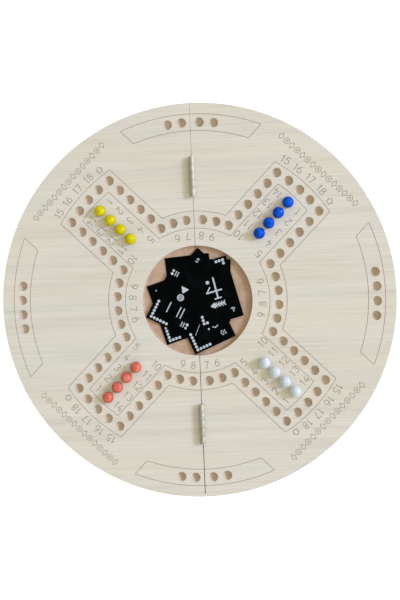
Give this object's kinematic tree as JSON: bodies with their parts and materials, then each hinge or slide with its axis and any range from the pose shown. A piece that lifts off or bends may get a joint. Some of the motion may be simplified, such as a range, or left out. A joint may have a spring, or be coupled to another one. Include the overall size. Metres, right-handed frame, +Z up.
{
  "type": "folding marble race game board",
  "caption": "Round wooden game board that folds on two seam hinges, with dimpled track, home lanes holding marbles, and a round tray of loose cards.",
  "frame": {"origin": "middle of the board's underside, on the seam", "axes": "+Z up out of the playing face, +Y along the seam towards the upper hinge, +X across the seam into the right half"},
  "size_m": [0.5598, 0.56, 0.0307],
  "materials": {
    "board_wood": "satin",
    "hinge_steel": "satin",
    "pin_steel": "satin",
    "screw_steel": "satin",
    "yellow_glass": "gloss",
    "blue_glass": "gloss",
    "white_glass": "gloss",
    "red_glass": "gloss",
    "card_black": "satin"
  },
  "bodies": {
    "left_half": {"board_left": "board_wood", "upper_hinge_left_leaf": "hinge_steel", "upper_hinge_pin": "pin_steel", "upper_hinge_left_screws": "screw_steel", "lower_hinge_left_leaf": "hinge_steel", "lower_hinge_pin": "pin_steel", "lower_hinge_left_screws": "screw_steel"},
    "right_half": {"board_right": "board_wood", "upper_hinge_right_leaf": "hinge_steel", "upper_hinge_right_screws": "screw_steel", "lower_hinge_right_leaf": "hinge_steel", "lower_hinge_right_screws": "screw_steel"},
    "yellow_marble_1": {"yellow_marble_1": "yellow_glass"},
    "yellow_marble_2": {"yellow_marble_2": "yellow_glass"},
    "yellow_marble_3": {"yellow_marble_3": "yellow_glass"},
    "yellow_marble_4": {"yellow_marble_4": "yellow_glass"},
    "blue_marble_1": {"blue_marble_1": "blue_glass"},
    "blue_marble_2": {"blue_marble_2": "blue_glass"},
    "blue_marble_3": {"blue_marble_3": "blue_glass"},
    "blue_marble_4": {"blue_marble_4": "blue_glass"},
    "white_marble_1": {"white_marble_1": "white_glass"},
    "white_marble_2": {"white_marble_2": "white_glass"},
    "white_marble_3": {"white_marble_3": "white_glass"},
    "white_marble_4": {"white_marble_4": "white_glass"},
    "red_marble_1": {"red_marble_1": "red_glass"},
    "red_marble_2": {"red_marble_2": "red_glass"},
    "red_marble_3": {"red_marble_3": "red_glass"},
    "red_marble_4": {"red_marble_4": "red_glass"},
    "card_1": {"card_1": "card_black"},
    "card_2": {"card_2": "card_black"},
    "card_3": {"card_3": "card_black"},
    "card_4": {"card_4": "card_black"},
    "card_5": {"card_5": "card_black"},
    "card_6": {"card_6": "card_black"},
    "card_7": {"card_7": "card_black"}
  },
  "joints": [
    {"name": "board_fold", "type": "hinge", "parent": "left_half", "child": "right_half", "pos_m": [0, 0, 0.022], "axis": [0, -1, 0], "range_deg": [0, 180]},
    {"name": "yellow_marble_1_lift", "type": "slide", "parent": "left_half", "child": "yellow_marble_1", "axis": [0, 0, 1], "range_m": [0, 0.82]},
    {"name": "yellow_marble_2_lift", "type": "slide", "parent": "left_half", "child": "yellow_marble_2", "axis": [0, 0, 1], "range_m": [0, 0.82]},
    {"name": "yellow_marble_3_lift", "type": "slide", "parent": "left_half", "child": "yellow_marble_3", "axis": [0, 0, 1], "range_m": [0, 0.82]},
    {"name": "yellow_marble_4_lift", "type": "slide", "parent": "left_half", "child": "yellow_marble_4", "axis": [0, 0, 1], "range_m": [0, 0.82]},
    {"name": "blue_marble_1_lift", "type": "slide", "parent": "left_half", "child": "blue_marble_1", "axis": [0, 0, 1], "range_m": [0, 0.82]},
    {"name": "blue_marble_2_lift", "type": "slide", "parent": "left_half", "child": "blue_marble_2", "axis": [0, 0, 1], "range_m": [0, 0.82]},
    {"name": "blue_marble_3_lift", "type": "slide", "parent": "left_half", "child": "blue_marble_3", "axis": [0, 0, 1], "range_m": [0, 0.82]},
    {"name": "blue_marble_4_lift", "type": "slide", "parent": "left_half", "child": "blue_marble_4", "axis": [0, 0, 1], "range_m": [0, 0.82]},
    {"name": "white_marble_1_lift", "type": "slide", "parent": "left_half", "child": "white_marble_1", "axis": [0, 0, 1], "range_m": [0, 0.82]},
    {"name": "white_marble_2_lift", "type": "slide", "parent": "left_half", "child": "white_marble_2", "axis": [0, 0, 1], "range_m": [0, 0.82]},
    {"name": "white_marble_3_lift", "type": "slide", "parent": "left_half", "child": "white_marble_3", "axis": [0, 0, 1], "range_m": [0, 0.82]},
    {"name": "white_marble_4_lift", "type": "slide", "parent": "left_half", "child": "white_marble_4", "axis": [0, 0, 1], "range_m": [0, 0.82]},
    {"name": "red_marble_1_lift", "type": "slide", "parent": "left_half", "child": "red_marble_1", "axis": [0, 0, 1], "range_m": [0, 0.82]},
    {"name": "red_marble_2_lift", "type": "slide", "parent": "left_half", "child": "red_marble_2", "axis": [0, 0, 1], "range_m": [0, 0.82]},
    {"name": "red_marble_3_lift", "type": "slide", "parent": "left_half", "child": "red_marble_3", "axis": [0, 0, 1], "range_m": [0, 0.82]},
    {"name": "red_marble_4_lift", "type": "slide", "parent": "left_half", "child": "red_marble_4", "axis": [0, 0, 1], "range_m": [0, 0.82]},
    {"name": "card_1_lift", "type": "slide", "parent": "left_half", "child": "card_1", "axis": [0, 0, 1], "range_m": [0, 0.82]},
    {"name": "card_2_lift", "type": "slide", "parent": "left_half", "child": "card_2", "axis": [0, 0, 1], "range_m": [0, 0.82]},
    {"name": "card_3_lift", "type": "slide", "parent": "left_half", "child": "card_3", "axis": [0, 0, 1], "range_m": [0, 0.82]},
    {"name": "card_4_lift", "type": "slide", "parent": "left_half", "child": "card_4", "axis": [0, 0, 1], "range_m": [0, 0.82]},
    {"name": "card_5_lift", "type": "slide", "parent": "left_half", "child": "card_5", "axis": [0, 0, 1], "range_m": [0, 0.82]},
    {"name": "card_6_lift", "type": "slide", "parent": "left_half", "child": "card_6", "axis": [0, 0, 1], "range_m": [0, 0.82]},
    {"name": "card_7_lift", "type": "slide", "parent": "left_half", "child": "card_7", "axis": [0, 0, 1], "range_m": [0, 0.82]}
  ],
  "couplings": [
    {"joint": "yellow_marble_1_lift", "follows": "board_fold", "m_per_rad": 0.26},
    {"joint": "yellow_marble_2_lift", "follows": "board_fold", "m_per_rad": 0.26},
    {"joint": "yellow_marble_3_lift", "follows": "board_fold", "m_per_rad": 0.26},
    {"joint": "yellow_marble_4_lift", "follows": "board_fold", "m_per_rad": 0.26},
    {"joint": "blue_marble_1_lift", "follows": "board_fold", "m_per_rad": 0.26},
    {"joint": "blue_marble_2_lift", "follows": "board_fold", "m_per_rad": 0.26},
    {"joint": "blue_marble_3_lift", "follows": "board_fold", "m_per_rad": 0.26},
    {"joint": "blue_marble_4_lift", "follows": "board_fold", "m_per_rad": 0.26},
    {"joint": "white_marble_1_lift", "follows": "board_fold", "m_per_rad": 0.26},
    {"joint": "white_marble_2_lift", "follows": "board_fold", "m_per_rad": 0.26},
    {"joint": "white_marble_3_lift", "follows": "board_fold", "m_per_rad": 0.26},
    {"joint": "white_marble_4_lift", "follows": "board_fold", "m_per_rad": 0.26},
    {"joint": "red_marble_1_lift", "follows": "board_fold", "m_per_rad": 0.26},
    {"joint": "red_marble_2_lift", "follows": "board_fold", "m_per_rad": 0.26},
    {"joint": "red_marble_3_lift", "follows": "board_fold", "m_per_rad": 0.26},
    {"joint": "red_marble_4_lift", "follows": "board_fold", "m_per_rad": 0.26},
    {"joint": "card_1_lift", "follows": "board_fold", "m_per_rad": 0.26},
    {"joint": "card_2_lift", "follows": "board_fold", "m_per_rad": 0.26},
    {"joint": "card_3_lift", "follows": "board_fold", "m_per_rad": 0.26},
    {"joint": "card_4_lift", "follows": "board_fold", "m_per_rad": 0.26},
    {"joint": "card_5_lift", "follows": "board_fold", "m_per_rad": 0.26},
    {"joint": "card_6_lift", "follows": "board_fold", "m_per_rad": 0.26},
    {"joint": "card_7_lift", "follows": "board_fold", "m_per_rad": 0.26}
  ]
}
